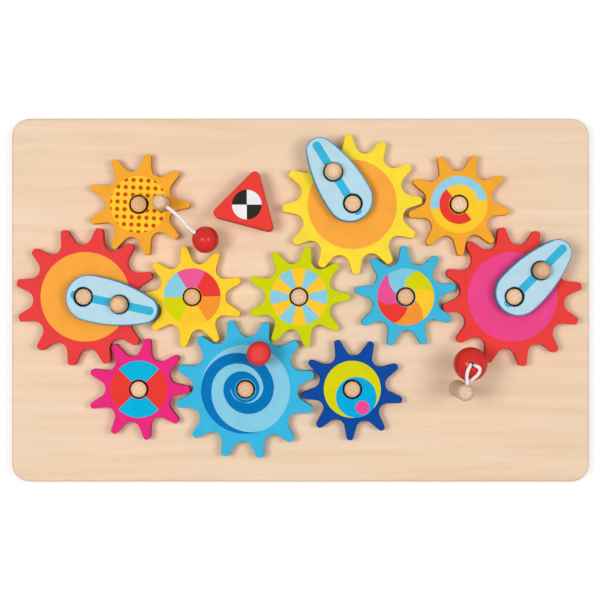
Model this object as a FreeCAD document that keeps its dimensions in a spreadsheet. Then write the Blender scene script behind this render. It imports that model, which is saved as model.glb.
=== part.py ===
"""Crank gear board: a wooden play board with eleven meshing gears, three cranks and two balls on cords.

The board lies flat, long side along X, its underside on z = 0 and its middle on the Z axis.
The axles stand on a lattice of equal triangles, so every large gear meshes with each small
gear beside it. Lengths are millimetres and angles are degrees.
"""

import FreeCAD
import Part
import Sketcher

import math
import os
import re

V = FreeCAD.Vector

# ---------------------------------------------------------------- driving dimensions

SIZES = [
    ("axle_spacing", 64, "between neighbouring axles, the same in all three directions"),
    ("train_shift_x", -1, "middle of the axle lattice, from the middle of the board"),
    ("train_shift_y", 2, "middle of the axle lattice, from the middle of the board"),
    ("board_thickness", 9, "plywood"),
    ("board_corner_radius", 11, "corners of the board, seen from above"),
    ("board_edge_round", 1.5, "rounded rim of the board"),
    ("side_margin", 5, "tooth tips of the outer gears to the short sides"),
    ("row_margin", 12.6, "tooth tips of a large gear to the long sides"),
    ("running_gap", 0.3, "board to gear"),
    ("large_gear_thickness", 8, "plywood"),
    ("crank_clearance", 0.3, "crank to the small gears that it sweeps over"),
    ("large_tooth_rise", 5.4, "tooth tips of a large gear above its rolling circle"),
    ("small_gear_gap", 2.6, "between the tooth tips of neighbouring small gears"),
    ("root_clearance", 2, "tooth tip to the floor of the mating tooth space"),
    ("large_tooth_width", 6.8, "on the rolling circle"),
    ("small_tooth_width", 4.9, "on the rolling circle"),
    ("large_flank_angle", 14.5, "flank to the middle line of its tooth"),
    ("small_flank_angle", 13, "flank to the middle line of its tooth"),
    ("tooth_tip_round", 1.8, "corners of every tooth tip"),
    ("first_turn", 18.2, "turn of the first large gear from its own zero"),
    ("slack_turn", 2.9, "play that one mesh takes up, as a turn of the large gear"),
    ("axle_diameter", 10, "beech dowel"),
    ("bore_clearance", 0.7, "bore to its dowel, on the radius"),
    ("axle_rise", 1, "axle end above a small gear"),
    ("axle_sink", 1, "axle end below the face of a crank"),
    ("axle_seat_depth", 7, "blind hole in the board"),
    ("seat_clearance", 0.05, "glued dowel to its hole, on the radius"),
    ("swivel_clearance", 0.1, "turning peg to its hole, on the radius"),
    ("dowel_end_round", 1, "rim of an axle end"),
    ("crank_thickness", 8, "plywood"),
    ("crank_heel_radius", 13.8, "round end beside the axle"),
    ("crank_heel_offset", 3.4, "middle of the heel from the axle"),
    ("crank_toe_radius", 8.3, "narrow end"),
    ("crank_toe_reach", 36.8, "middle of the toe from the axle"),
    ("crank_side_radius", 85, "long bulging sides"),
    ("crank_edge_round", 1, "upper rim of a crank"),
    ("handle_diameter", 10, "beech dowel"),
    ("handle_reach", 22, "handle to axle"),
    ("handle_rise", 8, "handle above the crank"),
    ("handle_seat_depth", 5, "blind hole in the gear"),
    ("handle_end_round", 3, "domed end"),
    ("knob_diameter", 14, "turned knob"),
    ("knob_reach", 23.5, "knob to axle"),
    ("knob_rise", 22, "knob above its gear"),
    ("knob_end_round", 3.5, "rounded top rim"),
    ("knob_spigot_diameter", 6, "turned on the knob's foot"),
    ("knob_spigot_depth", 6, "blind hole in the gear"),
    ("peg_diameter", 9, "tall peg on a small gear"),
    ("peg_reach", 14.5, "tall peg to axle"),
    ("peg_rise", 22, "tall peg above its gear"),
    ("peg_seat_depth", 5, "blind hole in the gear"),
    ("post_diameter", 10, "tall post in the board"),
    ("post_rise", 40, "tall post above the board"),
    ("tall_end_round", 2.5, "domed ends of the tall peg and post"),
    ("block_radius", 23.6, "triangular block, middle to sharp corner"),
    ("block_corner_radius", 3, "corners of the triangular block"),
    ("block_thickness", 16, "two layers of plywood"),
    ("block_edge_round", 1, "upper rim of the block"),
    ("block_shift_x", 1.2, "block from its point of the axle lattice"),
    ("block_shift_y", -0.9, "block from its point of the axle lattice"),
    ("cord_diameter", 2, "white braided cord"),
    ("cord_clearance", 0.3, "cord to its hole, on the radius"),
    ("peg_cord_drop", 5, "cord hole below the end of the tall peg"),
    ("peg_ball_diameter", 16, "ball on the tall peg's cord"),
    ("peg_ball_lift", 0.5, "ball above the small gears"),
    ("post_cord_drop", 2.8, "upper run of the doubled cord below the end of the post"),
    ("post_cord_pitch", 4.5, "between the two runs of the doubled cord in the post"),
    ("post_ball_diameter", 20, "ball on the post's cord"),
    ("post_ball_lift", 0.6, "ball above the cranks"),
    ("peg_ball_cord_end", 3, "end of the cord, from the middle of the ball"),
]

LARGE_TEETH = 12
SMALL_TEETH = 9

# What follows from the driving dimensions, in the sheet's own formulas.
DERIVED = [
    ("board_length", "=4 * axle_spacing + 2 * (large_tip_radius + side_margin)"),
    ("board_width", "=sqrt(3) * axle_spacing + 2 * (large_tip_radius + row_margin)"),
    ("row_spacing", "=axle_spacing * sqrt(3) / 2"),
    ("large_rolling_radius", f"=axle_spacing * {LARGE_TEETH / (LARGE_TEETH + SMALL_TEETH)}"),
    ("small_rolling_radius", "=axle_spacing - large_rolling_radius"),
    ("large_tip_radius", "=large_rolling_radius + large_tooth_rise"),
    ("small_tip_radius", "=(axle_spacing - small_gear_gap) / 2"),
    ("large_root_radius", "=axle_spacing - small_tip_radius - root_clearance"),
    ("small_root_radius", "=axle_spacing - large_tip_radius - root_clearance"),
    ("small_gear_thickness", "=large_gear_thickness - crank_clearance"),
    ("bore_diameter", "=axle_diameter + 2 * bore_clearance"),
    ("gear_floor", "=board_thickness + running_gap"),
    ("small_gear_top", "=gear_floor + small_gear_thickness"),
    ("large_gear_top", "=gear_floor + large_gear_thickness"),
    ("crank_top", "=large_gear_top + crank_thickness"),
    ("axle_foot", "=board_thickness - axle_seat_depth"),
    ("short_axle_length", "=small_gear_top + axle_rise - axle_foot"),
    ("long_axle_length", "=crank_top - axle_sink - axle_foot"),
    ("knob_axle_length", "=large_gear_top + axle_rise - axle_foot"),
    ("axle_hole_diameter", "=axle_diameter + 2 * seat_clearance"),
    ("handle_length", "=handle_seat_depth + crank_thickness + handle_rise"),
    ("handle_hole_diameter", "=handle_diameter + 2 * seat_clearance"),
    ("crank_handle_hole", "=handle_diameter + 2 * bore_clearance"),
    ("spigot_hole_diameter", "=knob_spigot_diameter + 2 * seat_clearance"),
    ("peg_hole_depth", "=peg_seat_depth + running_gap"),
    ("peg_length", "=peg_seat_depth + peg_rise"),
    ("peg_hole_diameter", "=peg_diameter + 2 * swivel_clearance"),
    ("peg_cord_height", "=small_gear_top + peg_rise - peg_cord_drop"),
    ("post_foot", "=axle_foot + running_gap"),
    ("post_length", "=board_thickness + post_rise - post_foot"),
    ("post_hole_diameter", "=post_diameter + 2 * swivel_clearance"),
    ("post_cord_height", "=board_thickness + post_rise - post_cord_drop"),
    ("post_cord_middle", "=post_cord_height - post_cord_pitch / 2"),
    ("cord_hole_diameter", "=cord_diameter + 2 * cord_clearance"),
    ("peg_ball_height", "=small_gear_top + peg_ball_lift + peg_ball_diameter / 2"),
    ("post_ball_height", "=crank_top + post_ball_lift + post_ball_diameter / 2"),
]

LATTICE_MIDDLE_COLUMN = 4

# Gears: name, size, column and row on the lattice, how many steps of slack it is ahead of the
# first gear, and 1 where it starts half a tooth on. Columns are half an axle spacing wide.
# Rows count up from the middle one.
GEARS = [
    ("red_orange", "large", 0, 0, 0, 0),
    ("orange_dots", "small", 1, 1, -1, 1),
    ("magenta_quarters", "small", 1, -1, -1, 1),
    ("yellow_pie", "small", 2, 0, -1, 0),
    ("blue_spiral", "large", 3, -1, -2, 0),
    ("lime_rays", "small", 4, 0, -1, 1),
    ("navy_discs", "small", 5, -1, -3, 0),
    ("yellow_orange", "large", 5, 1, 0, 1),
    ("blue_swirl", "small", 6, 0, 1, 0),
    ("orange_arcs", "small", 7, 1, 1, 1),
    ("red_pink", "large", 8, 0, 2, 1),
]
# Cranks: name, the gear that carries it, and where it points at rest.
CRANKS = [
    ("left", "red_orange", -12),
    ("top", "yellow_orange", 122),
    ("right", "red_pink", 45),
]
KNOB_GEAR, KNOB_DIRECTION = "blue_spiral", 69
PEG_GEAR, PEG_DIRECTION = "orange_dots", 0
POST_COLUMN, POST_ROW = 7, -1
BLOCK_COLUMN, BLOCK_ROW, BLOCK_DIRECTION = 3, 1, 75

# Route of the tall peg's cord, from inside the peg to its last bend before the ball: along X and
# Y from the peg's axis, and up from its cord hole.
PEG_CORD_ROUTE = [
    (1.0, -0.7, 0),
    (6.3, -4.3, 0),
    (12.0, -9.2, -1.6),
    (17.6, -16.4, -4.2),
]
PEG_BALL_PLACE = (26.1, -21.6)
# Route of the post's doubled cord, from the ball to the post and back: along and across the
# line from the post to the ball, and up from the middle between its two runs in the post.
POST_BALL_DISTANCE, POST_BALL_DIRECTION = 16.6, 74.6
POST_CORD_ROUTE = [
    (16.6, -1.15, -1.3),
    (16.6, -1.15, 2.9),
    (13.2, -2.3, 5.2),
    (9.2, -2.0, 4.3),
    (5.4, 0, 2.25),
    (0.9, 0, 2.25),
    (0.9, 0, -2.25),
    (5.4, 0, -2.25),
    (8.6, 2.4, -0.3),
    (12.0, 4.6, 2.4),
    (16.1, 4.7, 4.2),
    (16.6, 1.15, 3.0),
    (16.6, 1.15, -0.6),
]
BEND_SHARE = 0.45  # of the shorter run beside a bend, taken up by the bend's arc

# ---------------------------------------------------------------- document and sheet

doc = FreeCAD.newDocument("CrankGearBoard")
sheet = doc.addObject("Spreadsheet::Sheet", "Sizes")


def tooth_cells(kind, teeth):
    """A tooth space is a V with a round floor. Its middle line is the X axis of its sketch."""
    half = 180 / teeth
    rolling, width, flank = f"{kind}_rolling_radius", f"{kind}_tooth_width", f"{kind}_flank_angle"
    space, tip, root = f"{kind}_space", f"{kind}_tip_radius", f"{kind}_root_radius"
    along = f"({rolling} * cos({half}) + {width} / 2 * sin({half}))"
    across = f"({rolling} * sin({half}) - {width} / 2 * cos({half}))"
    land = f"({width} / 2 - ({tip} - {rolling}) * tan({flank}))"
    return [
        (f"{space}_angle", f"={half} + {flank}"),
        (f"{space}_point", f"={along} - {across} / tan({space}_angle)"),
        (
            f"{space}_round",
            f"=({root} - {space}_point) * sin({space}_angle) / (1 - sin({space}_angle))",
        ),
        (f"{kind}_tip_round", f"=min(tooth_tip_round; 1.15 * {land})"),
    ]


def fill_sheet():
    """One row to a size: its alias, its value or formula and what it measures."""
    rows = [(alias, str(value), note) for alias, value, note in SIZES]
    formulas = DERIVED + tooth_cells("large", LARGE_TEETH) + tooth_cells("small", SMALL_TEETH)
    rows += [(alias, formula, "") for alias, formula in formulas]
    for number, (alias, text, note) in enumerate(rows, start=1):
        sheet.set(f"A{number}", alias)
        sheet.set(f"B{number}", text)
        sheet.setAlias(f"B{number}", alias)
        sheet.set(f"C{number}", note)
    doc.recompute()
    return {alias for alias, text, note in rows}


ALIASES = fill_sheet()


def size(alias):
    return float(sheet.get(alias))


def bound(expression):
    """The expression with its aliases pointed at the sheet."""
    return re.sub(r"[a-z]\w*", lambda w: ("Sizes." if w[0] in ALIASES else "") + w[0], expression)


def value_of(expression):
    value = sheet.evalExpression(bound(expression))
    return float(getattr(value, "Value", value))


# ---------------------------------------------------------------- sketches and features


def new_body(name):
    body = doc.addObject("PartDesign::Body", name)
    body.Label = name
    return body


def new_sketch(body, role="XY_Plane", lift="0", turn=0):
    """A sketch on one of the body's own origin planes, lifted along that plane's normal."""
    sketch = body.newObject("Sketcher::SketchObject", f"{body.Name}_sketch")
    origin_plane = next(f for f in body.Origin.OriginFeatures if f.Role == role)
    sketch.AttachmentSupport = [(origin_plane, "")]
    sketch.MapMode = "FlatFace"
    turned = FreeCAD.Rotation(V(0, 0, 1), turn)
    sketch.AttachmentOffset = FreeCAD.Placement(V(0, 0, value_of(lift)), turned)
    if lift != "0":
        sketch.setExpression("AttachmentOffset.Base.z", bound(lift))
    return sketch


def dimension(sketch, kind, where, expression):
    """A dimension of the sketch, bound to the sheet. Angles are in degrees."""
    value = value_of(expression)
    start = math.radians(value) if kind == "Angle" else value
    index = sketch.addConstraint(Sketcher.Constraint(kind, *where, start))
    unit = " * 1 deg" if kind == "Angle" else ""
    sketch.setExpression(f"Constraints[{index}]", f"({bound(expression)}){unit}")


def join(sketch, kind, *where):
    sketch.addConstraint(Sketcher.Constraint(kind, *where))


def circle(sketch, diameter, x="0", y="0"):
    middle = V(value_of(x), value_of(y), 0)
    ring = sketch.addGeometry(Part.Circle(middle, V(0, 0, 1), value_of(diameter) / 2))
    dimension(sketch, "Diameter", (ring,), diameter)
    if x == "0" and y == "0":
        join(sketch, "Coincident", ring, 3, -1, 1)
        return
    dimension(sketch, "DistanceX", (-1, 1, ring, 3), x)
    if y == "0":
        join(sketch, "PointOnObject", ring, 3, -1)
    else:
        dimension(sketch, "DistanceY", (-1, 1, ring, 3), y)


def slot(sketch, span, width):
    """A slot around the sketch's origin, along its Y axis: two half circles and two lines."""
    half, radius = value_of(span) / 2, value_of(width) / 2
    top = Part.Circle(V(0, half, 0), V(0, 0, 1), radius)
    bottom = Part.Circle(V(0, -half, 0), V(0, 0, 1), radius)
    ends = [
        Part.ArcOfCircle(top, 0, math.pi),
        Part.LineSegment(V(-radius, half, 0), V(-radius, -half, 0)),
        Part.ArcOfCircle(bottom, math.pi, 2 * math.pi),
        Part.LineSegment(V(radius, -half, 0), V(radius, half, 0)),
    ]
    a, left, b, right = sketch.addGeometry(ends, False)
    join(sketch, "Tangent", a, 2, left, 1)
    join(sketch, "Tangent", left, 2, b, 1)
    join(sketch, "Tangent", b, 2, right, 1)
    join(sketch, "Tangent", right, 2, a, 1)
    join(sketch, "PointOnObject", a, 3, -2)
    join(sketch, "Symmetric", a, 3, b, 3, -1, 1)
    dimension(sketch, "DistanceY", (b, 3, a, 3), span)
    dimension(sketch, "Radius", (a,), f"{width} / 2")


def pad(body, sketch, length, down=False):
    feature = body.newObject("PartDesign::Pad", f"{body.Name}_pad")
    feature.Profile = sketch
    feature.Reversed = down
    feature.setExpression("Length", bound(length))
    doc.recompute()


def pocket(body, sketch, depth=None, up=False):
    """Cuts down from the sketch to a depth, or right through, and must take something away."""
    before = body.Shape.Volume
    feature = body.newObject("PartDesign::Pocket", f"{body.Name}_pocket")
    feature.Profile = sketch
    feature.Reversed = up
    if depth:
        feature.setExpression("Length", bound(depth))
    else:
        feature.Type = "ThroughAll"
    doc.recompute()
    if body.Shape.Volume > before - 1:
        raise RuntimeError(f"{feature.Label} takes nothing away")
    return feature


def fillet(body, picks, radius):
    """Rounds the edges of the body so far that the test picks."""
    base = body.Tip
    names = [f"Edge{i}" for i, e in enumerate(base.Shape.Edges, start=1) if picks(e)]
    feature = body.newObject("PartDesign::Fillet", f"{body.Name}_fillet")
    feature.Base = (base, names)
    feature.setExpression("Radius", bound(radius))
    doc.recompute()


def flat_at(height):
    z = value_of(height)
    return lambda edge: max(abs(edge.BoundBox.ZMin - z), abs(edge.BoundBox.ZMax - z)) < 1e-6


def upright(edge):
    box = edge.BoundBox
    return max(box.XLength, box.YLength) < 1e-6 < box.ZLength


def upright_at(reach):
    """Upright edges at one distance from the body's own axis."""
    wanted = value_of(reach)
    return lambda e: upright(e) and abs(math.hypot(e.BoundBox.XMin, e.BoundBox.YMin) - wanted) < 1e-4


# ---------------------------------------------------------------- where things stand


def lattice(column, row):
    """Expressions for a point of the axle lattice, seen from above."""
    x = f"train_shift_x + ({column - LATTICE_MIDDLE_COLUMN}) * axle_spacing / 2"
    return x, f"train_shift_y + ({row}) * row_spacing"


def beside(point, reach, direction):
    """Expressions for a point at a reach and a direction from another."""
    return f"{point[0]} + {reach} * cos({direction})", f"{point[1]} + {reach} * sin({direction})"


def place(body, point, height, turn=0):
    """Stands a body on a point. Its place stays bound to the sheet."""
    x, y = (value_of(p) for p in point)
    turned = FreeCAD.Rotation(V(0, 0, 1), turn)
    body.Placement = FreeCAD.Placement(V(x, y, value_of(height)), turned)
    for axis, expression in zip("xyz", (*point, height)):
        body.setExpression(f"Placement.Base.{axis}", bound(expression))


def turn_of(kind, steps, half):
    """Where a gear's first tooth points. A gear that starts half a tooth on has half = 1."""
    large = size("first_turn") + steps * size("slack_turn")
    if kind == "large":
        return (large + half * 180 / LARGE_TEETH) % (360 / LARGE_TEETH)
    return (half * 180 / SMALL_TEETH - large * LARGE_TEETH / SMALL_TEETH) % (360 / SMALL_TEETH)


def gear_place(name):
    """A gear's point of the lattice and its turn."""
    kind, column, row, steps, half = next(g[1:] for g in GEARS if g[0] == name)
    return lattice(column, row), turn_of(kind, steps, half)


# ---------------------------------------------------------------- pieces


def make_board():
    """A rounded slab with a blind hole for every axle and one for the tall post."""
    body = new_body("board")
    outline = new_sketch(body)
    x, y = size("board_length") / 2, size("board_width") / 2
    corners = [V(-x, -y, 0), V(x, -y, 0), V(x, y, 0), V(-x, y, 0)]
    for i in range(4):
        outline.addGeometry(Part.LineSegment(corners[i], corners[(i + 1) % 4]))
    for i in range(4):
        join(outline, "Coincident", i, 2, (i + 1) % 4, 1)
    join(outline, "Horizontal", 0)
    join(outline, "Horizontal", 2)
    join(outline, "Vertical", 1)
    join(outline, "Vertical", 3)
    join(outline, "Symmetric", 0, 1, 1, 2, -1, 1)
    dimension(outline, "DistanceX", (0, 1, 0, 2), "board_length")
    dimension(outline, "DistanceY", (1, 1, 1, 2), "board_width")
    pad(body, outline, "board_thickness")
    fillet(body, upright, "board_corner_radius")
    top, bottom = flat_at("board_thickness"), flat_at("0")
    fillet(body, lambda e: top(e) or bottom(e), "board_edge_round")
    holes = new_sketch(body, lift="board_thickness")
    for name, kind, column, row, steps, half in GEARS:
        circle(holes, "axle_hole_diameter", *lattice(column, row))
    circle(holes, "post_hole_diameter", *lattice(POST_COLUMN, POST_ROW))
    pocket(body, holes, "axle_seat_depth")


def make_dowel(name, diameter, length, end_round, point, height, turn=0):
    body = new_body(name)
    foot = new_sketch(body)
    circle(foot, diameter)
    pad(body, foot, length)
    fillet(body, flat_at(length), end_round)
    place(body, point, height, turn)
    return body


def cut_tooth_spaces(body, kind, teeth):
    """One tooth space, cut right through and repeated around the gear."""
    space = new_sketch(body, turn=180 / teeth)
    radius, angle = size(f"{kind}_space_round"), math.radians(size(f"{kind}_space_angle"))
    middle = V(size(f"{kind}_root_radius") + radius, 0, 0)
    touch = middle + V(-math.sin(angle), math.cos(angle), 0) * radius
    outer_x = size(f"{kind}_tip_radius") + 1
    outer = V(outer_x, (outer_x - size(f"{kind}_space_point")) * math.tan(angle), 0)
    mirror = FreeCAD.Matrix()
    mirror.scale(1, -1, 1)
    low_touch, low_outer = mirror.multVec(touch), mirror.multVec(outer)
    floor = Part.Circle(middle, V(0, 0, 1), radius)
    shapes = [
        Part.ArcOfCircle(floor, math.pi / 2 + angle, 3 * math.pi / 2 - angle),
        Part.LineSegment(low_touch, low_outer),
        Part.LineSegment(low_outer, outer),
        Part.LineSegment(outer, touch),
    ]
    arc, low, mouth, high = space.addGeometry(shapes, False)
    join(space, "Tangent", arc, 2, low, 1)
    join(space, "Coincident", low, 2, mouth, 1)
    join(space, "Coincident", mouth, 2, high, 1)
    join(space, "Tangent", high, 2, arc, 1)
    join(space, "PointOnObject", arc, 3, -1)
    join(space, "Symmetric", mouth, 1, mouth, 2, -1)
    dimension(space, "Radius", (arc,), f"{kind}_space_round")
    dimension(space, "DistanceX", (-1, 1, arc, 3), f"{kind}_root_radius + {kind}_space_round")
    dimension(space, "DistanceX", (-1, 1, mouth, 1), f"{kind}_tip_radius + 1")
    dimension(space, "Angle", (-1, 1, low, 1), f"0 - {kind}_space_angle")
    cut = pocket(body, space, up=True)
    pattern = body.newObject("PartDesign::PolarPattern", f"{body.Name}_teeth")
    pattern.Originals = [cut]
    pattern.Axis = (next(f for f in body.Origin.OriginFeatures if f.Role == "Z_Axis"), [""])
    pattern.Angle = 360
    pattern.Occurrences = teeth
    body.Tip = pattern
    doc.recompute()
    fillet(body, upright_at(f"{kind}_tip_radius"), f"{kind}_tip_round")


def seat(body, kind, diameter, depth, reach, direction, turn):
    """A blind hole in a gear's top for what stands on the gear."""
    sketch = new_sketch(body, lift=f"{kind}_gear_thickness", turn=direction - turn)
    circle(sketch, diameter, reach)
    pocket(body, sketch, depth)


def make_gear(name, kind, column, row, steps, half):
    """A toothed disc on its axle. Its first tooth points along its own X axis."""
    body = new_body(f"gear_{name}")
    teeth = LARGE_TEETH if kind == "large" else SMALL_TEETH
    disc = new_sketch(body)
    circle(disc, f"2 * {kind}_tip_radius")
    circle(disc, "bore_diameter")
    pad(body, disc, f"{kind}_gear_thickness")
    cut_tooth_spaces(body, kind, teeth)
    turn = turn_of(kind, steps, half)
    for crank, gear, direction in CRANKS:
        if gear == name:
            hole = ("handle_hole_diameter", "handle_seat_depth", "handle_reach")
            seat(body, kind, *hole, direction, turn)
    if name == KNOB_GEAR:
        hole = ("spigot_hole_diameter", "knob_spigot_depth", "knob_reach")
        seat(body, kind, *hole, KNOB_DIRECTION, turn)
    if name == PEG_GEAR:
        hole = ("peg_hole_diameter", "peg_hole_depth", "peg_reach")
        seat(body, kind, *hole, PEG_DIRECTION, turn)
    place(body, lattice(column, row), "gear_floor", turn)


def make_axle(name, kind, column, row):
    """A dowel in the board: long under a crank, short elsewhere."""
    length = "short_axle_length" if kind == "small" else "knob_axle_length"
    if any(gear == name for crank, gear, direction in CRANKS):
        length = "long_axle_length"
    spot = lattice(column, row)
    make_dowel(f"axle_{name}", "axle_diameter", length, "dowel_end_round", spot, "axle_foot")


def crank_outline(sketch):
    """A wide heel, a narrow toe and two long bulging sides, all tangent to one another."""
    heel = V(size("crank_heel_offset"), 0, 0)
    toe = V(size("crank_toe_reach"), 0, 0)
    heel_r, toe_r, side_r = (size(f"crank_{k}_radius") for k in ("heel", "toe", "side"))
    apart, to_heel, to_toe = toe.x - heel.x, side_r - heel_r, side_r - toe_r
    along = (to_heel**2 - to_toe**2 + apart**2) / (2 * apart)
    deep = math.sqrt(to_heel**2 - along**2)
    heel_angle = math.atan2(deep, -along)
    toe_angle = math.atan2(deep, apart - along)
    up, turn = V(0, 0, 1), 2 * math.pi
    below = Part.Circle(V(heel.x + along, -deep, 0), up, side_r)
    above = Part.Circle(V(heel.x + along, deep, 0), up, side_r)
    arcs = [
        Part.ArcOfCircle(Part.Circle(heel, up, heel_r), heel_angle, turn - heel_angle),
        Part.ArcOfCircle(above, turn - heel_angle, turn - toe_angle),
        Part.ArcOfCircle(Part.Circle(toe, up, toe_r), turn - toe_angle, turn + toe_angle),
        Part.ArcOfCircle(below, toe_angle, heel_angle),
    ]
    for i in sketch.addGeometry(arcs, False):
        join(sketch, "Tangent", i, 2, (i + 1) % 4, 1)
    join(sketch, "PointOnObject", 0, 3, -1)
    join(sketch, "PointOnObject", 2, 3, -1)
    join(sketch, "Equal", 1, 3)
    dimension(sketch, "DistanceX", (-1, 1, 0, 3), "crank_heel_offset")
    dimension(sketch, "DistanceX", (-1, 1, 2, 3), "crank_toe_reach")
    dimension(sketch, "Radius", (0,), "crank_heel_radius")
    dimension(sketch, "Radius", (2,), "crank_toe_radius")
    dimension(sketch, "Radius", (1,), "crank_side_radius")


def make_crank(name, gear, direction):
    body = new_body(f"crank_{name}")
    plate = new_sketch(body)
    crank_outline(plate)
    pad(body, plate, "crank_thickness")
    fillet(body, flat_at("crank_thickness"), "crank_edge_round")
    holes = new_sketch(body, lift="crank_thickness")
    circle(holes, "bore_diameter")
    circle(holes, "crank_handle_hole", "handle_reach")
    pocket(body, holes)
    axle = gear_place(gear)[0]
    place(body, axle, "large_gear_top", direction)
    spot = beside(axle, "handle_reach", direction)
    foot = "large_gear_top - handle_seat_depth"
    rod = ("handle_diameter", "handle_length", "handle_end_round")
    make_dowel(f"handle_{name}", *rod, spot, foot)


def make_knob():
    """One turned piece: a thin spigot below and a thick knob above."""
    body = new_body("knob")
    foot = new_sketch(body)
    circle(foot, "knob_spigot_diameter")
    pad(body, foot, "knob_spigot_depth", down=True)
    knob = new_sketch(body)
    circle(knob, "knob_diameter")
    pad(body, knob, "knob_rise")
    fillet(body, flat_at("knob_rise"), "knob_end_round")
    spot = beside(gear_place(KNOB_GEAR)[0], "knob_reach", KNOB_DIRECTION)
    place(body, spot, "large_gear_top")


def make_block():
    """A triangular plate glued to the board."""
    body = new_body("triangle_block")
    sketch = new_sketch(body)
    corners = [V(size("block_radius"), 0, 0)]
    for i in (1, 2):
        corners.append(FreeCAD.Rotation(V(0, 0, 1), 120 * i).multVec(corners[0]))
    sides = [Part.LineSegment(corners[i], corners[(i + 1) % 3]) for i in range(3)]
    around = Part.Circle(V(0, 0, 0), V(0, 0, 1), size("block_radius"))
    sketch.addGeometry(sides, False)
    ring = sketch.addGeometry(around, True)
    for i in range(3):
        join(sketch, "Coincident", i, 2, (i + 1) % 3, 1)
        join(sketch, "PointOnObject", i, 1, ring)
    join(sketch, "Coincident", ring, 3, -1, 1)
    join(sketch, "PointOnObject", 0, 1, -1)
    join(sketch, "Equal", 0, 1)
    join(sketch, "Equal", 1, 2)
    dimension(sketch, "Radius", (ring,), "block_radius")
    pad(body, sketch, "block_thickness")
    fillet(body, upright, "block_corner_radius")
    fillet(body, flat_at("block_thickness"), "block_edge_round")
    x, y = lattice(BLOCK_COLUMN, BLOCK_ROW)
    spot = (f"{x} + block_shift_x", f"{y} + block_shift_y")
    place(body, spot, "board_thickness", BLOCK_DIRECTION)


def make_ball(name, diameter):
    """Half a disc turned about the vertical axis of its sketch."""
    body = new_body(name)
    half = new_sketch(body, "XZ_Plane")
    radius = value_of(diameter) / 2
    ring = Part.Circle(V(0, 0, 0), V(0, 0, 1), radius)
    half.addGeometry(Part.ArcOfCircle(ring, -math.pi / 2, math.pi / 2))
    half.addGeometry(Part.LineSegment(V(0, radius, 0), V(0, -radius, 0)))
    join(half, "Coincident", 0, 2, 1, 1)
    join(half, "Coincident", 1, 2, 0, 1)
    join(half, "Coincident", 0, 3, -1, 1)
    join(half, "PointOnObject", 1, 1, -2)
    join(half, "Vertical", 1)
    dimension(half, "Radius", (0,), f"{diameter} / 2")
    turned = body.newObject("PartDesign::Revolution", f"{name}_revolution")
    turned.Profile = half
    turned.ReferenceAxis = (half, ["V_Axis"])
    turned.Angle = 360
    doc.recompute()
    return body


# ---------------------------------------------------------------- cords


def cord_wire(points):
    """Straight runs, joined at every bend by an arc that touches both."""
    edges, radii, start = [], [], points[0]
    for before, corner, after in zip(points, points[1:], points[2:]):
        back, ahead = before - corner, after - corner
        cut = BEND_SHARE * min(back.Length, ahead.Length)
        half_turn = (math.pi - back.getAngle(ahead)) / 2
        back.normalize()
        ahead.normalize()
        first, last = corner + back * cut, corner + ahead * cut
        radius = cut / math.tan(half_turn)
        inward = (back + ahead).normalize()
        middle = corner + inward * (radius / math.cos(half_turn) - radius)
        edges.append(Part.LineSegment(start, first).toShape())
        edges.append(Part.Arc(first, middle, last).toShape())
        radii.append(radius)
        start = last
    edges.append(Part.LineSegment(start, points[-1]).toShape())
    return Part.Wire(edges), radii


def make_cord(name, points, spot, height, turn=0):
    """A round cord along its route, in the frame of the peg or the post that holds it."""
    wire, radii = cord_wire([V(*p) for p in points])
    radius = size("cord_diameter") / 2
    start = V(*points[0])
    end = Part.Circle(start, V(*points[1]) - start, radius).toShape()
    tube = wire.makePipeShell([Part.Wire([end])], True, False)
    share = tube.Volume / (math.pi * radius**2 * wire.Length)
    if not 0.99 < share < 1.01:
        raise RuntimeError(f"{name} is pinched or folded: {share:.3f} of its volume")
    cord = doc.addObject("Part::Feature", name)
    cord.Label = name
    cord.Shape = tube
    place(cord, spot, height, turn)
    print(f"{name}: length {wire.Length:.1f}, bends {min(radii):.1f} to {max(radii):.1f}")


def make_peg_and_ball():
    """The tall peg, its ball and the cord from one to the other."""
    spot = beside(gear_place(PEG_GEAR)[0], "peg_reach", PEG_DIRECTION)
    start, bend = (V(*p) for p in PEG_CORD_ROUTE[:2])
    heading = math.degrees(math.atan2(bend.y - start.y, bend.x - start.x))
    rod = ("peg_diameter", "peg_length", "tall_end_round")
    peg = make_dowel("peg", *rod, spot, "small_gear_top - peg_seat_depth", heading)
    hole = new_sketch(peg, "YZ_Plane")
    circle(hole, "cord_hole_diameter", "0", "peg_length - peg_cord_drop")
    pocket(peg, hole, up=True)
    middle = V(*PEG_BALL_PLACE, size("peg_ball_height") - size("peg_cord_height"))
    last = V(*PEG_CORD_ROUTE[-1])
    inward = (last - middle).normalize()
    end = middle + inward * size("peg_ball_cord_end")
    make_cord("peg_cord", [*PEG_CORD_ROUTE, tuple(end)], spot, "peg_cord_height")
    ball = make_ball("peg_ball", "peg_ball_diameter")
    bore = new_sketch(ball, lift="peg_ball_cord_end - cord_clearance")
    circle(bore, "cord_hole_diameter")
    pocket(ball, bore, up=True)
    x, y = PEG_BALL_PLACE
    place(ball, (f"{spot[0]} + {x}", f"{spot[1]} + ({y})"), "peg_ball_height")
    ball.Placement.Rotation = FreeCAD.Rotation(V(0, 0, 1), inward)


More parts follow.
